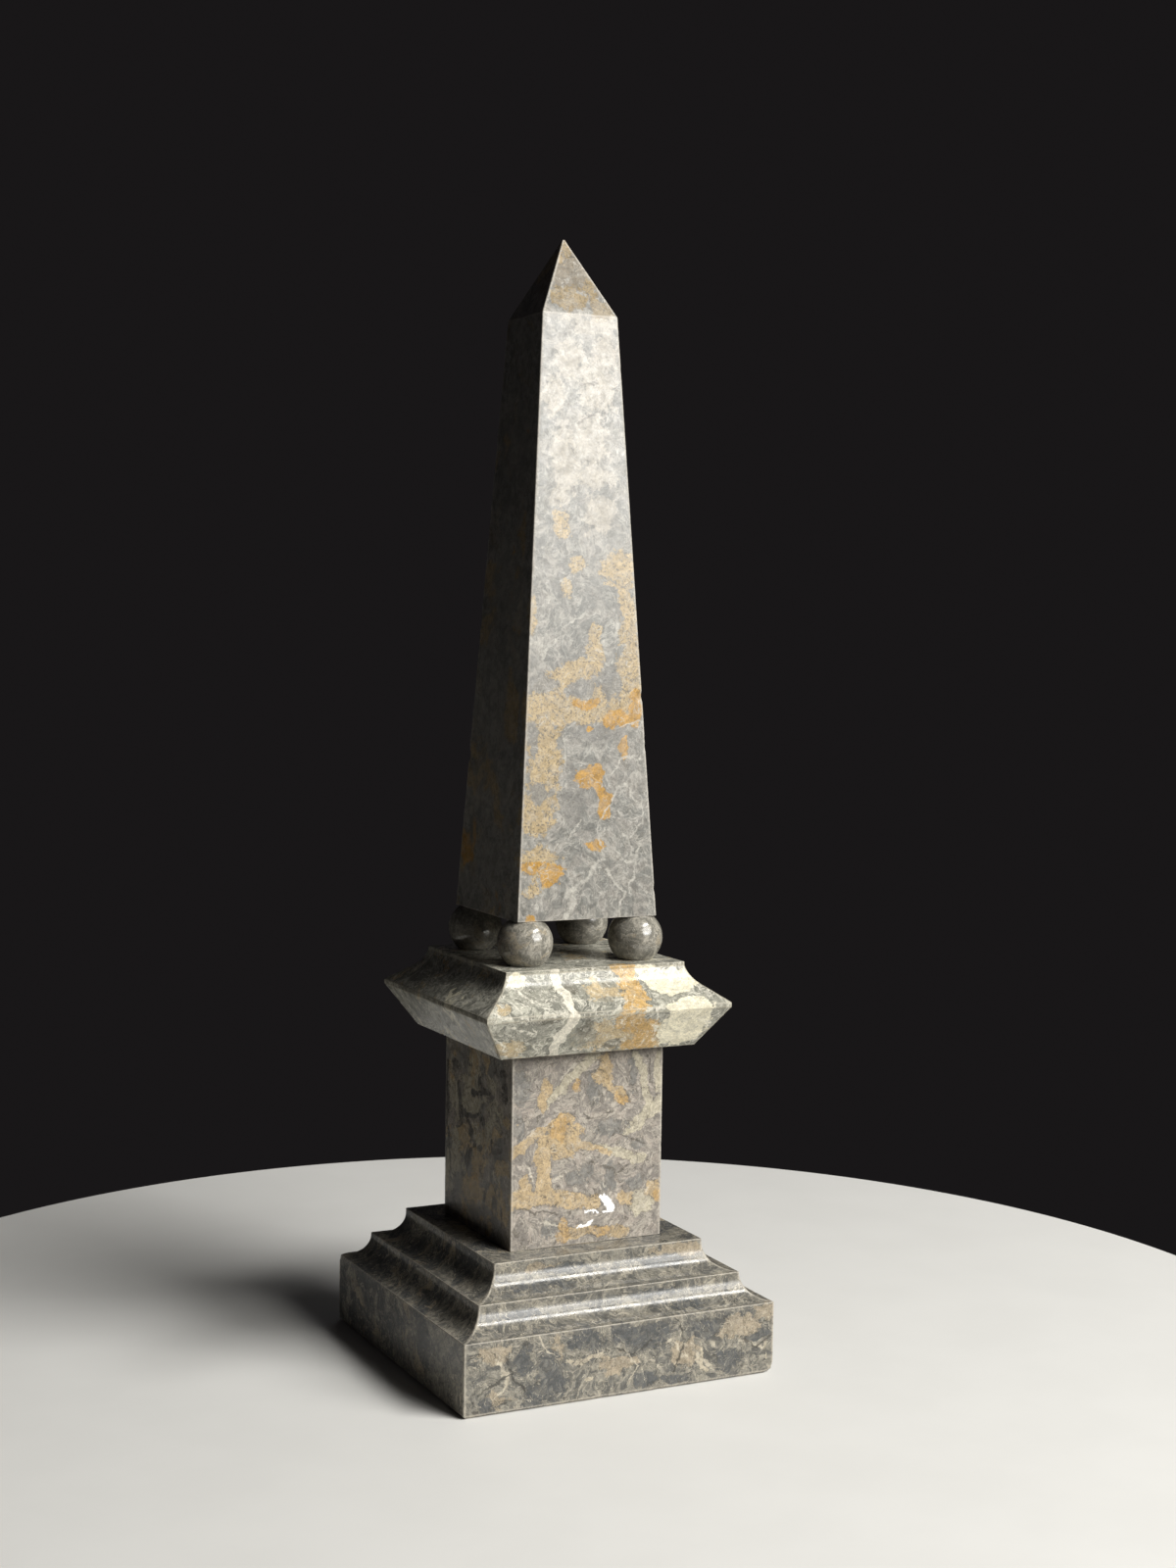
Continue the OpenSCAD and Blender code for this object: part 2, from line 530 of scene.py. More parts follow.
class Marble(Recipe):
    """A polished marble: a broken ground with zones of other colours, a web of threads, and light arrises.

    seed: moves the pattern, so that no two stones have the same.
    colours: ground, light and deep tones of the ground, zone colours and line colours, by name.
    grain: sizes and amounts that differ between the stones, with zones as (colour, how much of the stone
    it takes where it isn't placed, raggedness of the edge, strength, amount of dark specks) and threads
    as (colour, size, width, strength).
    marks: for each zone and kind of line, where it shows on the front or the left face.
    face: turns a mark's x and z into a place on the stone.
    front: where the loose zones stop before the front face, as on_front takes it."""

    def __init__(self, name, seed, colours, grain, mesh=None, face=None, front=None, marks=None):
        super().__init__(name)
        self.colours = colours
        self.grain = grain
        self.marks = marks or {}
        self.face = face
        roll = grain["roll"]
        self.seeded = self.vector("ADD", self.place, seed)
        self.rolled = self.swirl(self.swirl(self.seeded, roll, roll * 0.30), roll * 0.33, roll * 0.10)
        self.curled = self.swirl(self.rolled, roll * 0.13, roll * 0.035)
        self.jag = self.math("SUBTRACT", self.noise(self.place, 4.0, 8.0, 0.68), 0.5)
        self.lay_ground()
        self.lay_zones(mesh, front)
        self.draw_threads()
        if self.marks:
            # Placed lines keep their place and only get ragged edges, in the plane of the front
            broad = self.swirl(self.place, 9.0, 2.4, 4.0, FRONT_WAYS)
            self.ragged = self.swirl(broad, 2.6, 0.8, 3.0, FRONT_WAYS)
        self.draw_lines("veins", "vein", 0.3, 1.6)
        self.draw_lines("cracks", "dark", 0.4, 1.5)
        self.finish()

    def paint(self, amount, tone):
        """Lays one of the stone's colours over what is there."""
        self.colour = self.blend(amount, self.colour, self.colours[tone])

    def lay_ground(self):
        """Three tones with crisp broken edges, islands of one tone, and a lacy web round the islands."""
        cloud, grain = self.grain["cloud"], self.grain
        tone = self.noise(self.rolled, cloud, 9.0, 0.60)
        self.colour = self.blend(self.step(tone, 0.45, 0.55), self.colours["deep"], self.colours["ground"])
        patch = self.noise(self.vector("ADD", self.rolled, (41.0, 7.0, 13.0)), cloud * 0.6, 8.0, 0.60)
        self.paint(self.step(patch, 0.52, 0.55, 0.0, grain["light"]), "light")
        spot = self.noise(self.vector("ADD", self.curled, (3.0, 71.0, 23.0)), cloud * 0.30, 6.0, 0.6)
        self.paint(self.step(spot, 0.55, 0.58, 0.0, grain["deep"]), "deep")
        islands = self.step(self.cell_tone(self.curled, cloud * 0.45), 0.70, 0.74)
        self.paint(self.times(islands, grain["deep"]), "deep")
        # The web is stronger in some places than in others
        lace = self.step(self.cells(self.curled, cloud * 0.45), 0.01, 0.12, 1.0, 0.0)
        patchy = self.step(self.noise(self.seeded, cloud * 0.8, 4.0), 0.46, 0.54)
        self.paint(self.times(lace, patchy, grain["lace"]), "vein")

    def on_front(self, taper, foot, start, full):
        """A high value on the front face, which keeps the loose zones off it, and 0 on the other faces.

        It rises from start to full, both measured from the axis at the height foot."""
        apart = self.tree.nodes.new("ShaderNodeSeparateXYZ")
        self.feed(apart.inputs[0], self.place)
        leaned = self.times(self.math("SUBTRACT", apart.outputs["Z"], foot), taper)
        return self.step(self.math("SUBTRACT", leaned, apart.outputs["Y"]), start, full, 0.0, 10.0)

    def lay_zones(self, mesh, front):
        """Zones of other colours, each with a dark broken rim, dark specks and light streaks."""
        placed = [
            zone for zone, *_ in self.grain["zones"]
            if zone in self.marks or "left_" + zone in self.marks
        ]
        if placed:
            lay_out_zones(mesh, self.face, self.marks, placed)
        specks = self.step(self.noise(self.place, 1.1, 2.0, 0.6), 0.40, 0.44, 1.0, 0.0)
        for n, (zone, amount, raggedness, strength, speckle) in enumerate(self.grain["zones"]):
            at = self.vector("ADD", self.rolled, (31.0 * (n + 1), 17.0 * n, 9.0 * n))
            short_of = self.math("SUBTRACT", 1 - amount, self.noise(at, self.grain["roll"] * 0.8, 8.0, 0.64))
            # How far outside the zone a place is: under 0 inside it
            outside = self.math("MULTIPLY", short_of, 12.0)
            if front:
                outside = self.math("ADD", outside, self.on_front(**front))
            if zone in placed:
                near = self.math("SUBTRACT", self.attribute("near_" + zone), 1.0)
                near = self.math("ADD", near, self.times(self.jag, raggedness))
                outside = self.math("MINIMUM", outside, near)
            rim = self.step(outside, 0.0, 0.28, self.grain["rim"], 0.0)
            self.paint(self.times(rim, self.step(self.jag, -0.03, 0.03), strength), "dark")
            worked = self.blend(self.times(specks, speckle), self.colours[zone], self.colours["dark"])
            streaks = self.noise(self.curled, self.grain["cloud"] * 0.5, 6.0, 0.6)
            worked = self.blend(self.step(streaks, 0.40, 0.52, 0.30, 0.0), worked, self.colours["light"])
            inside = self.step(outside, -0.04, 0.04, 1.0, 0.0)
            self.colour = self.blend(self.times(inside, strength), self.colour, worked)

    def draw_threads(self):
        """A web of thin broken lines all through the stone."""
        for n, (tone, size, width, strength) in enumerate(self.grain["threads"]):
            at = self.vector("ADD", self.rolled, (size * 7.3, size * 3.1, 5.0 * n))
            broken = self.step(self.noise(self.seeded, size * 0.9, 5.0, 0.65), 0.47, 0.53)
            self.paint(self.times(self.thread(at, size, width), broken, strength), tone)

    def near_marks(self, kind, raggedness):
        """The distance to the nearest placed line of one kind, with a ragged edge."""
        near = self.to_marks(self.ragged, self.marks[kind], self.face)
        return self.math("ADD", near, self.times(self.jag, raggedness))

    def draw_lines(self, kind, tone, core, edge):
        """Placed lines, full as far as core and gone past edge, as shares of their half width."""
        if kind in self.marks:
            self.paint(self.step(self.near_marks(kind, 5.0), core, edge, 0.8, 0.0), tone)

    def finish(self):
        """Fine grain, residue and worn arrises over the colour, then the polish and the small bumps."""
        mottle = self.step(self.noise(self.curled, 3.5, 8.0, 0.72), 0.38, 0.62, 0.82, 1.18)
        fine = self.step(self.noise(self.place, 0.8, 3.0, 0.8), 0.34, 0.66, 0.84, 1.16)
        self.colour = self.blend(1.0, self.colour, self.times(mottle, fine), "MULTIPLY")
        wear = self.step(self.noise(self.place, 1.2, 4.0, 0.7), 0.36, 0.56, 0.3, 1.0)
        wear = self.times(self.attribute("wear"), wear)
        polish = self.grain["polish"]
        gloss = self.step(self.noise(self.seeded, 4.0, 7.0, 0.7), 0.35, 0.65, polish - 0.06, polish + 0.10)
        gloss = self.math("ADD", gloss, self.times(wear, 0.25))
        pits = self.times(self.noise(self.place, 0.7, 3.0, 0.75), 0.12)
        height = self.math("ADD", self.noise(self.place, 9.0, 2.0, 0.5), pits)
        if "residue" in self.marks:
            residue = self.step(self.near_marks("residue", 3.0), 0.9, 1.1, 1.0, 0.0)
            self.paint(residue, "residue")
            gloss = self.math("MAXIMUM", gloss, self.times(residue, 0.75))
            height = self.math("ADD", height, self.times(residue, 0.6))
        self.paint(self.times(wear, 0.8), "worn")
        bump = self.tree.nodes.new("ShaderNodeBump")
        bump.inputs["Strength"].default_value = 0.4
        bump.inputs["Distance"].default_value = 0.12 * MM
        self.feed(bump.inputs["Height"], height)
        self.feed(self.shader.inputs["Base Color"], self.colour)
        self.feed(self.shader.inputs["Roughness"], gloss)
        self.feed(self.shader.inputs["Normal"], bump.outputs["Normal"])
        self.shader.inputs["Specular IOR Level"].default_value = self.grain["shine"]


# ---------------------------------------------------------------- the stones

outlines = {node: outline_of(node) for node in SQUARE_NODES}
base_half = max(half for half, _ in outlines["base"])
cap_half = max(half for half, _ in outlines["cap"])
shaft_foot, shaft_neck = outlines["shaft"][:2]


def front_of(node):
    """Turns a place on a stone's front, right of its middle and above the floor, into X, Y and Z."""
    return lambda x, z: (x, -half_width(outlines[node], z), z)


def ride_and_replace(piece, node, marble):
    """Gives a stone its marble and lets it stand for its CAD solid."""
    piece.data.materials.append(marble.material)
    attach(piece, "root")
    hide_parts(node)


base = square_stone(
    "base_block", outlines["base"], columns=76, coarse=1.3, ease=0.35, arris=0.55,
    offset=Vector((11, 5, 2)),
    dents=[
        ((base_half, -base_half, 0.5), 4.5, 0.9),
        ((base_half, base_half, 31), 5.0, 1.1),
        ((-base_half, base_half, 32), 3.5, 0.8),
    ],
)
die = square_stone(
    "die_block", outlines["die"], columns=42, coarse=1.4, ease=0.3, arris=0.5,
    offset=Vector((40, 9, 7)), soften=0.7,
)
cap = square_stone(
    "cap_moulding", outlines["cap"], columns=64, coarse=1.2, ease=0.3, arris=0.45,
    offset=Vector((3, 60, 21)),
    dents=[((cap_half, cap_half, 164), 3.5, 0.9), ((-cap_half, -cap_half, 164), 2.6, 0.5)],
)
shaft = square_stone(
    "shaft_needle", outlines["shaft"], columns=36, coarse=1.3, ease=0.3, arris=0.5,
    offset=Vector((7, 22, 90)), soften=0.6, inner=0.2,
    dents=[((28.4, -28.4, 300), 2.6, 0.5), ((33.5, -33.5, 214), 2.0, 0.4), ((-30, 30, 271), 3.5, 0.8)],
)


# ---------------------------------------------------------------- the marble of each stone

shaft_taper = (shaft_foot[0] - shaft_neck[0]) / (shaft_neck[1] - shaft_foot[1])

# The shaft and its tip: pale grey, with tan and ochre clouds low down, and higher up cream clouds that also
# carry painted sheen on the upper shaft
shaft_marble = Marble(
    "shaft_marble",
    seed=(0.0, 0.0, 0.0),
    mesh=shaft.data,
    face=front_of("shaft"),
    front=dict(taper=shaft_taper, foot=float(shaft_foot[1]), start=shaft_foot[0] - 9, full=shaft_foot[0] - 3),
    colours={
        "ground": (0.235, 0.222, 0.200), "light": (0.297, 0.281, 0.250), "deep": (0.161, 0.159, 0.145),
        "tan": (0.366, 0.280, 0.158), "ochre": (0.393, 0.223, 0.052), "cream": (0.376, 0.337, 0.275),
        "brown": (0.189, 0.159, 0.118), "buff": (0.239, 0.183, 0.103), "grey": (0.191, 0.185, 0.170),
        "vein": (0.398, 0.382, 0.341), "dark": (0.106, 0.095, 0.078), "worn": (0.488, 0.456, 0.404),
    },
    marks={
        "brown": [(0, 488, 17, 15)],
        "tan": [
            ((-26, 296), (-8, 293), (6, 296), 6.0), ((6, 296), (24, 296), 8.5),
            ((-20, 302), (-4, 312), (4, 313), 5.0), ((24, 300), (24, 318), 8.0),
            ((-22, 288), (-20, 262), (-24, 246), 7.5), (-24, 228, 9, 7), ((5, 316), (6, 328), 3.2),
            ((23, 318), (21, 346), 3.8), (17, 356, 9, 8), (-3, 358, 4, 3), (-10, 375, 4, 6),
            (-8, 347, 3, 5), (-24, 336, 2, 9), (-27, 216, 6, 3),
        ],
        "buff": [(-4, 474, 8, 7), (11, 470, 6, 5), (7, 480, 3, 4), (0, 499, 3, 5), (-11, 474, 3, 4)],
        "grey": [
            (-22, 305, 8, 3.5), (-2, 303, 7, 3.5), (13, 305, 5, 8), (-24, 258, 4, 4.5),
            (-17, 259, 2.5, 2.5), (-26, 284, 3, 5), (-24, 276, 2, 4), (4, 284, 12, 5), (-6, 256, 5, 14),
        ],
        "ochre": [
            ((5, 268), (4, 262), (9, 255), (10, 247), 2.6), (2, 264, 7, 5), (19, 278, 1.8, 5),
            (4, 235, 4.5, 2.5), (-18, 222, 6, 5), (1, 297, 6, 2.5), (16, 290, 7, 4), (25, 294, 4, 9),
            (-27, 225, 4, 3), (-28, 202, 2.5, 2.5), (1, 286, 1.5, 2),
        ],
        # Cream patches, most of them high up: partly the stone's own cream clouds, partly painted sheen that
        # lightens the upper shaft
        "cream": [
            (5, 463, 12, 4), (8, 436, 9, 14), (4, 412, 9, 12), (-8, 404, 7, 16), (8, 380, 8, 9),
            (-6, 448, 8, 8), (-22, 282, 1.0, 1.6), (18, 318, 1.5, 1.2), (12, 452, 6, 9), (-13, 432, 5, 9),
            (-12, 388, 5, 5), (4, 396, 12, 4),
        ],
        "veins": [
            ((-21, 318), (-8, 332), (5, 337), 0.5), ((-28, 324), (-17, 322), 0.4),
            ((7, 228), (-5, 216), (-10, 212), 0.9),
            ((24, 252), (18, 260), (13, 256), (5, 241), (7, 228), 0.45), ((17, 286), (29, 291), 0.5),
            ((18, 240), (24, 226), (20, 212), 0.5), ((-12, 282), (-10, 272), 0.4),
            ((12, 266), (18, 273), (27, 272), 0.4), ((-6, 212), (-9, 204), 1.2),
            ((14, 232), (22, 226), (27, 234), 0.5), ((10, 222), (18, 214), (16, 204), 0.5),
            ((26, 256), (28, 244), (22, 238), 0.4), ((-4, 246), (-8, 238), 0.4),
        ],
        "cracks": [
            ((6, 470), (5, 478), (7, 487), 0.35), ((-11, 478), (-4, 481), (5, 478), 0.3),
            ((-3, 494), (4, 494), 0.25), ((0, 436), (6, 437), 0.5), ((-1, 421), (7, 423), 0.6),
        ],
    },
    grain={
        "roll": 30.0, "cloud": 10.0, "light": 0.65, "deep": 0.6, "lace": 0.42, "rim": 0.35,
        "polish": 0.25, "shine": 0.38,
        "zones": [
            ("brown", 0.40, 2.4, 0.85, 0.3), ("tan", 0.43, 3.0, 0.94, 0.75), ("buff", 0.0, 3.0, 0.92, 0.5),
            ("cream", 0.40, 3.6, 0.6, 0.2), ("grey", 0.0, 3.0, 0.9, 0.25), ("ochre", 0.36, 2.4, 0.95, 0.30),
        ],
        "threads": [
            ("vein", 10.0, 0.013, 0.75), ("vein", 4.5, 0.016, 0.5), ("dark", 13.0, 0.010, 0.5),
            ("dark", 4.5, 0.012, 0.4),
        ],
    },
)

# The die: mauve grey and tan, with pale and dark grey patches and white residue low on its front
die_marble = Marble(
    "die_marble",
    seed=(140.0, 60.0, 10.0),
    mesh=die.data,
    face=front_of("die"),
    front=dict(taper=0.0, foot=0.0, start=27.0, full=34.0),
    colours={
        "ground": (0.312, 0.276, 0.239), "light": (0.376, 0.343, 0.295), "deep": (0.213, 0.194, 0.173),
        "tan": (0.421, 0.320, 0.189), "ochre": (0.428, 0.286, 0.127), "pale": (0.442, 0.402, 0.306),
        "grey": (0.179, 0.174, 0.162), "vein": (0.492, 0.452, 0.378), "dark": (0.104, 0.093, 0.078),
        "char": (0.085, 0.080, 0.074), "worn": (0.502, 0.463, 0.401), "residue": (0.800, 0.800, 0.800),
    },
    marks={
        "pale": [
            ((-20, 122), (-8, 133), (3, 142), 2.8), ((24, 140), (31, 119), 2.0),
            ((37, 118), (20, 106), 2.8), ((34, 140), (36, 124), 2.0), ((2, 101), (12, 98), (28, 92), 1.8),
            (28, 74, 8, 5),
        ],
        "tan": [
            ((-37, 100), (-25, 108), (-10, 115), 2.4), (-12, 106, 8, 8),
            ((-8, 105), (0, 101), (10, 97), 1.8), ((-22, 103), (-21, 84), 3.8),
            ((-35, 80), (-20, 80), (3, 76), 3.6), (20, 76, 4, 3), ((-20, 130), (-22, 121), 2.4),
            (8, 134, 4, 8), ((10, 128), (18, 121), 2.8), (-30, 84, 4, 5), ((-8, 64), (20, 60), 3.0),
            (34, 78, 4, 5),
        ],
        "grey": [
            (-33, 130, 4, 8), (3, 126, 4, 8), (11, 125, 3, 6), (21, 130, 2.5, 9), (12, 108, 8, 3.5),
            (11, 85, 4, 6), (-5, 88, 8, 4), (-34, 112, 3, 6), (24, 82, 5, 3), (-18, 66, 5, 4),
            (24, 100, 5, 2.5),
        ],
        "ochre": [
            (36, 75, 3, 3), (-11, 64, 3, 6), (6, 62, 6, 3), (-6, 128, 2, 3), (17, 121, 5, 2.5),
            (-14, 110, 5, 5),
        ],
        "left_pale": [
            (-28, 118, 4, 9), (-23, 90, 6.5, 11), (-2, 131, 4, 8), (15, 128, 4.5, 4), (-14, 124, 6, 3),
            ((-9, 115), (8, 117), 1.8), (12, 114, 2, 2), (8, 103, 3, 5), (-3, 100, 4, 3),
            (19, 102, 2.5, 2.5),
        ],
        "left_tan": [
            ((-2, 90), (2, 84), 3.0), (27, 92, 8, 4), (-8, 76, 11, 6), (18, 76, 8, 6), (31, 72, 6, 5),
            (32, 113, 3.5, 2),
        ],
        "left_char": [
            ((-35, 128), (-35, 100), 2.0), ((-32, 99), (-32, 88), (-30, 80), (-25, 77), 0.9),
            ((-21, 120), (-20, 106), 1.8), (-25, 129, 5.5, 2), (-10, 90, 2.5, 6), (3, 95, 3.5, 2),
            ((-7, 120), (4, 121), (18, 122), 1.3), ((-16, 107), (-6, 109), (2, 112), 1.1), (8, 131, 1.6, 3),
            (19, 137, 1.6, 3), (15, 100, 2, 2.5), ((17, 97), (24, 99), (31, 102), 1.0), (6, 108, 3, 2),
            ((22, 88), (23, 84), (19, 81), 0.8), (-18, 81, 1.5, 3.5), ((9, 76), (8, 66), 1.3),
            (2, 126, 2, 3), (30, 126, 3, 6), (28, 134, 4, 2),
        ],
        "veins": [((-13, 132), (-7, 138), 0.6), ((-30, 95), (-26, 88), 0.4), ((-24, 70), (-14, 66), 0.5)],
        "cracks": [
            ((28, 140), (33, 124), 0.4), ((18, 104), (28, 99), 0.4), ((-34, 76), (-20, 72), (-8, 72), 0.4),
            ((2, 92), (16, 88), (20, 92), 0.45), ((-4, 116), (4, 112), (12, 116), 0.4),
        ],
        "residue": [
            ((5, 78), (9, 76.5), 0.8), ((8, 77), (11, 75), (12.5, 71), 1.3), ((9, 71), (12, 70), 0.7),
            ((-1, 71), (5, 71.5), 0.5), ((-4, 65.5), (1, 67), 0.8),
        ],
    },
    grain={
        "roll": 24.0, "cloud": 8.0, "light": 0.7, "deep": 0.9, "lace": 0.3, "rim": 0.75,
        "polish": 0.28, "shine": 0.3,
        "zones": [
            ("pale", 0.48, 3.0, 0.85, 0.25), ("grey", 0.47, 3.6, 0.90, 0.25), ("tan", 0.44, 3.0, 0.92, 0.4),
            ("char", 0.40, 4.0, 0.9, 0.2), ("ochre", 0.33, 3.0, 0.8, 0.35),
        ],
        "threads": [("dark", 9.0, 0.018, 0.8), ("vein", 8.0, 0.014, 0.6), ("dark", 4.0, 0.016, 0.55)],
    },
)

# The cap: green grey, with a large cream patch on the right of its front and an ochre one beside it, and
# a pale vein on the left
cap_marble = Marble(
    "cap_marble",
    seed=(-90.0, 200.0, 35.0),
    mesh=cap.data,
    face=front_of("cap"),
    front=dict(taper=0.0, foot=0.0, start=34.0, full=41.0),
    colours={
        "ground": (0.338, 0.331, 0.276), "light": (0.467, 0.455, 0.386), "deep": (0.192, 0.190, 0.162),
        "tan": (0.489, 0.386, 0.234), "ochre": (0.506, 0.326, 0.124), "cream": (0.723, 0.672, 0.513),
        "grey": (0.263, 0.259, 0.218), "vein": (0.723, 0.690, 0.595), "dark": (0.110, 0.105, 0.083),
        "shadow": (0.146, 0.137, 0.111), "pale": (0.700, 0.660, 0.557), "worn": (0.37, 0.335, 0.26),
    },
    marks={
        "tan": [(-3, 154, 12, 8), (-45, 150, 10, 4), (0, 172, 9, 6), (-50, 168, 4, 3), (12, 152, 9, 8)],
        "cream": [
            (38, 154, 12.5, 11), (40, 165, 11, 6), (36, 174, 14, 7), (25, 178, 6, 5), (-40, 179, 4, 3),
        ],
        "ochre": [
            ((13, 182), (14, 168), 5.5), ((8, 161), (18, 156), (24, 148), 5.0), (22, 154, 6, 7),
            (16, 148, 6, 3),
        ],
        "grey": [
            (-13, 154, 8, 6), (0, 168, 6, 2), (3, 175, 5, 2.5), (29, 169, 4, 3), (54, 160, 4, 8),
            (-12, 172, 4, 6), (-36, 158, 9, 6), (-34, 172, 9, 5),
        ],
        "shadow": [
            (-14, 174, 3, 3), (-10, 160, 2.5, 4), (-12, 156, 3, 2), (5, 149, 5, 2), (-30, 162, 6, 2),
        ],
        "pale": [((-20, 182), (-19, 172), (-18, 163), (-24, 150), (-23, 144), 2.4)],
        "veins": [
            ((-50, 162), (-36, 156), (-30, 146), 0.5), ((-44, 176), (-30, 168), 0.5),
            ((-58, 160), (-44, 148), 0.5), ((-40, 164), (-34, 154), 0.4), ((-4, 182), (4, 174), 0.4),
            ((22, 164), (24, 150), 0.5),
        ],
    },
    grain={
        "roll": 22.0, "cloud": 9.0, "light": 0.75, "deep": 0.75, "lace": 0.6, "rim": 0.45,
        "polish": 0.20, "shine": 0.22,
        "zones": [
            ("tan", 0.42, 3.0, 0.88, 0.35), ("grey", 0.34, 3.0, 0.8, 0.25), ("ochre", 0.34, 2.4, 0.92, 0.3),
            ("cream", 0.39, 1.5, 0.95, 0.08), ("shadow", 0.30, 3.0, 0.85, 0.2),
            ("pale", 0.29, 1.5, 0.97, 0.05),
        ],
        "threads": [
            ("vein", 7.0, 0.016, 0.8), ("vein", 3.5, 0.020, 0.55), ("dark", 8.0, 0.012, 0.65),
            ("dark", 4.0, 0.012, 0.45),
        ],
    },
)

# The base: dark grey, nearly black in places, with beige patches and threads
base_marble = Marble(
    "base_marble",
    seed=(30.0, -120.0, 260.0),
    mesh=base.data,
    face=front_of("base"),
    front=dict(taper=0.0, foot=0.0, start=36.0, full=47.0),
    colours={
        "ground": (0.196, 0.184, 0.154), "light": (0.265, 0.245, 0.202), "deep": (0.098, 0.096, 0.088),
        "tan": (0.300, 0.250, 0.180), "cream": (0.42, 0.37, 0.28),
        "grey": (0.074, 0.077, 0.078), "vein": (0.44, 0.395, 0.31), "dark": (0.045, 0.042, 0.037),
        "worn": (0.46, 0.42, 0.35),
    },
    marks={
        "grey": [
            (-48, 22, 4, 7), (-42, 5, 6, 6), ((-36, 18), (-34, 8), 6.0), (-18, 27, 8, 4.5),
            ((-2, 27), (18, 25), 4.8), (41, 25, 7, 5), (52, 8, 8, 4.5), (12, 5, 8, 3), (26, 3, 6, 2.5),
            (66, 18, 8, 2.2), (-18, 52, 10, 2.5), (-44, 38, 8, 2), (20, 40, 12, 2), (-64, 4, 4, 3),
            (34, 34, 10, 1.8), (-30, 46, 14, 2), (30, 50, 10, 2),
        ],
        "tan": [
            (56, 23, 12, 4.5), (-32, 23, 3, 6), (-62, 26, 8, 4), (30, 15, 7, 5), (40, 53, 14, 3),
            (-30, 54, 10, 2), (-2, 14, 8, 3.5), (70, 28, 5, 4), (-60, 6, 6, 3),
        ],
        "cream": [
            ((-28, 18), (-18, 17), (-10, 19), 0.9), ((39, 18), (38, 7), 0.9), ((72, 15), (71, 6), 0.7),
            (-16, 9, 2, 1.5), ((34, 12), (42, 5), 0.7),
        ],
        "veins": [
            ((-60, 24), (-54, 14), (-60, 7), 0.5), ((0, 20), (6, 12), (2, 6), 0.5),
            ((22, 22), (30, 12), 0.5), ((-40, 30), (-34, 22), 0.4), ((36, 14), (44, 6), 0.6),
            ((58, 16), (70, 12), 0.5),
        ],
        "cracks": [
            ((-57, 24), (-53, 16), (-47, 10), 0.6), ((-68, 9), (-58, 14), (-53, 16), 0.5),
            ((26, 30), (29, 20), (24, 8), 0.6), ((60, 16), (66, 12), (75, 18), 0.6), (-70, 3, 1.5, 1.5),
            ((-8, 22), (4, 18), (14, 22), 0.5),
        ],
    },
    grain={
        "roll": 22.0, "cloud": 8.0, "light": 0.5, "deep": 0.45, "lace": 0.4, "rim": 0.55,
        "polish": 0.17, "shine": 0.3,
        "zones": [
            ("tan", 0.44, 3.6, 0.85, 0.35), ("grey", 0.49, 3.0, 0.92, 0.1), ("cream", 0.30, 3.6, 0.85, 0.2),
        ],
        "threads": [
            ("vein", 9.0, 0.011, 0.75), ("vein", 5.0, 0.011, 0.5), ("dark", 7.5, 0.014, 0.75),
            ("dark", 4.0, 0.011, 0.5),
        ],
    },
)

# The balls: plain brown grey, with a higher polish than the other stones
ball_marble = Marble(
    "ball_marble",
    seed=(70.0, 20.0, -60.0),
    colours={
        "ground": (0.25, 0.236, 0.20), "light": (0.34, 0.317, 0.27), "deep": (0.15, 0.143, 0.122),
        "tan": (0.33, 0.28, 0.20), "grey": (0.145, 0.14, 0.122), "vein": (0.45, 0.42, 0.36),
        "dark": (0.09, 0.085, 0.07), "worn": (0.42, 0.40, 0.35),
    },
    grain={
        "roll": 12.0, "cloud": 6.0, "light": 0.6, "deep": 0.6, "lace": 0.4, "rim": 0.3,
        "polish": 0.13, "shine": 0.5,
        "zones": [("tan", 0.42, 1.2, 0.6, 0.4), ("grey", 0.41, 1.2, 0.6, 0.2)],
        "threads": [("vein", 5.0, 0.014, 0.6), ("dark", 5.0, 0.014, 0.5)],
    },
)

ride_and_replace(base, "base", base_marble)
ride_and_replace(die, "die", die_marble)
ride_and_replace(cap, "cap", cap_marble)
ride_and_replace(shaft, "shaft", shaft_marble)
for n, node in enumerate(BALL_NODES):
    ball = turned_ball(node.replace("ball", "ball_turned"), node, Vector((n * 13.0, 4, 1)))
    ride_and_replace(ball, node, ball_marble)


# ---------------------------------------------------------------- floor, light and camera, in metres

FLOOR_RADIUS = 0.37
FLOOR_SIDES = 256
DAYLIGHT = (1.0, 0.985, 0.95)
COOL_LIGHT = (0.95, 0.97, 1.0)
DARK_ROOM = (0.0095, 0.0085, 0.009)


def floor_disc(radius):
    """A plain pale floor round the obelisk."""
    mesh = bpy.data.meshes.new("floor")
    turns = [2 * math.pi * k / FLOOR_SIDES for k in range(FLOOR_SIDES)]
    rim = [(radius * math.cos(turn), radius * math.sin(turn), 0) for turn in turns]
    mesh.from_pydata(rim, [], [tuple(range(FLOOR_SIDES))])
    piece = add_piece("floor", mesh)
    pale = Recipe("pale_floor")
    shade = pale.step(pale.noise(pale.place, 60.0, 5.0), 0.3, 0.7)
    pale.feed(pale.shader.inputs["Base Color"], pale.blend(shade, (0.67, 0.665, 0.645), (0.69, 0.685, 0.665)))
    pale.shader.inputs["Roughness"].default_value = 0.6
    pale.shader.inputs["Specular IOR Level"].default_value = 0.2
    piece.data.materials.append(pale.material)


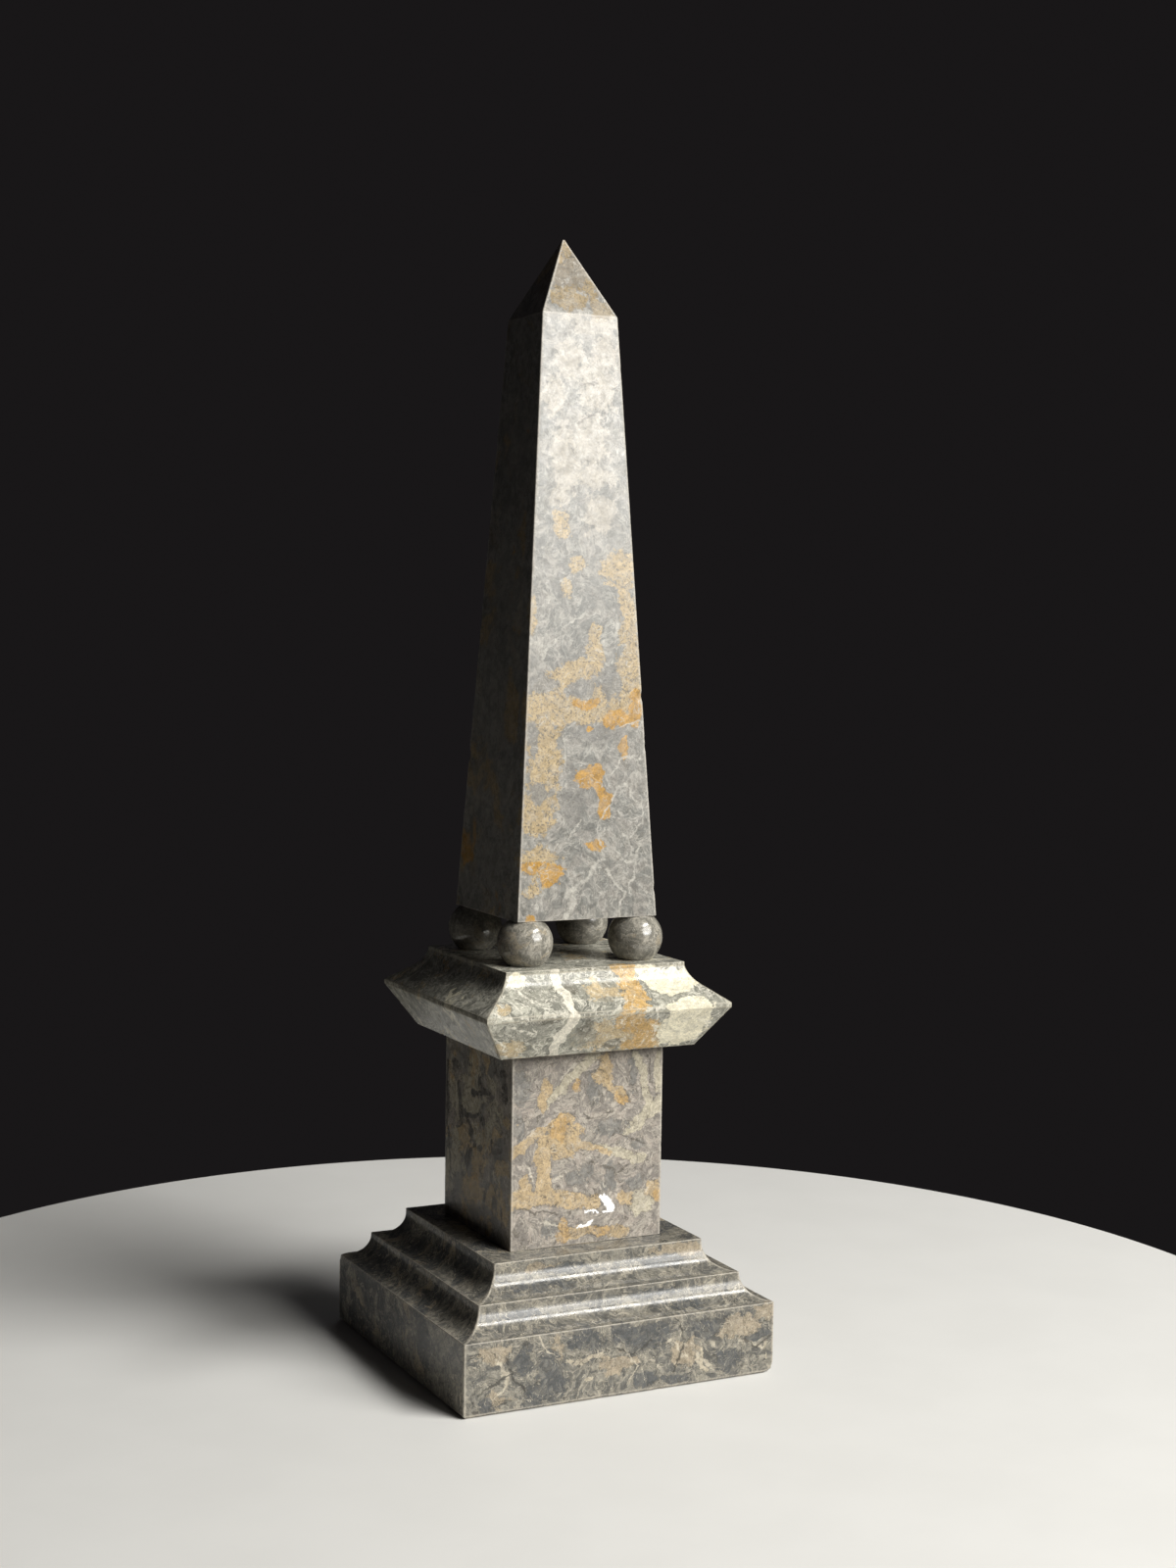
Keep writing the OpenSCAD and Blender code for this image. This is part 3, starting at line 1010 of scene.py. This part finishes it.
def soft_light(name, place, aim, width, height, power, tint):
    """One studio softbox, turned towards aim."""
    light = bpy.data.lights.new(name, "AREA")
    light.shape = "RECTANGLE"
    light.size = width
    light.size_y = height
    light.energy = power
    light.color = tint
    lamp = bpy.data.objects.new(name, light)
    lamp.location = place
    lamp.rotation_euler = (Vector(aim) - Vector(place)).to_track_quat("-Z", "Y").to_euler()
    bpy.context.scene.collection.objects.link(lamp)


def studio_camera(place, yaw, pitch, roll, lens):
    """The camera: yaw turns it from +Y towards +X, and pitch lifts it, in degrees."""
    yaw, pitch, roll = (math.radians(a) for a in (yaw, pitch, roll))
    forward = Vector((math.sin(yaw) * math.cos(pitch), math.cos(yaw) * math.cos(pitch), math.sin(pitch)))
    level = Vector((math.cos(yaw), -math.sin(yaw), 0))
    upright = level.cross(forward)
    right = math.cos(roll) * level + math.sin(roll) * upright
    up = math.cos(roll) * upright - math.sin(roll) * level
    camera = bpy.data.objects.new("camera", bpy.data.cameras.new("camera"))
    camera.data.lens = lens
    camera.data.sensor_width = 36
    turn = Matrix((right, up, -forward)).transposed().to_4x4()
    camera.matrix_world = Matrix.Translation(place) @ turn
    bpy.context.scene.collection.objects.link(camera)
    bpy.context.scene.camera = camera


floor_disc(FLOOR_RADIUS)
soft_light(
    "high_strip", place=(0.94, -1.17, 1.80), aim=(0, 0, 0.19),
    width=1.0, height=0.34, power=36.0, tint=DAYLIGHT,
)
soft_light(
    "wide_softbox", place=(1.03, -1.79, 1.20), aim=(0, 0, 0.19),
    width=1.6, height=0.9, power=57.0, tint=DAYLIGHT,
)
soft_light(
    "low_softbox", place=(0.99, -2.03, 0.80), aim=(0, 0, 0.36),
    width=1.0, height=0.42, power=14.0, tint=DAYLIGHT,
)
soft_light(
    "back_fill", place=(0.95, 1.25, 1.35), aim=(0, 0, 0.2),
    width=0.9, height=0.9, power=0.7, tint=COOL_LIGHT,
)

world = bpy.data.worlds.new("dark_room")
world.use_nodes = True
world.node_tree.nodes["Background"].inputs["Color"].default_value = (*DARK_ROOM, 1)
bpy.context.scene.world = world
bpy.context.scene.view_settings.view_transform = "Standard"

studio_camera(place=(-0.44186, -0.92097, 0.33213), yaw=26.4377, pitch=-4.0716, roll=0.8131, lens=51.92)
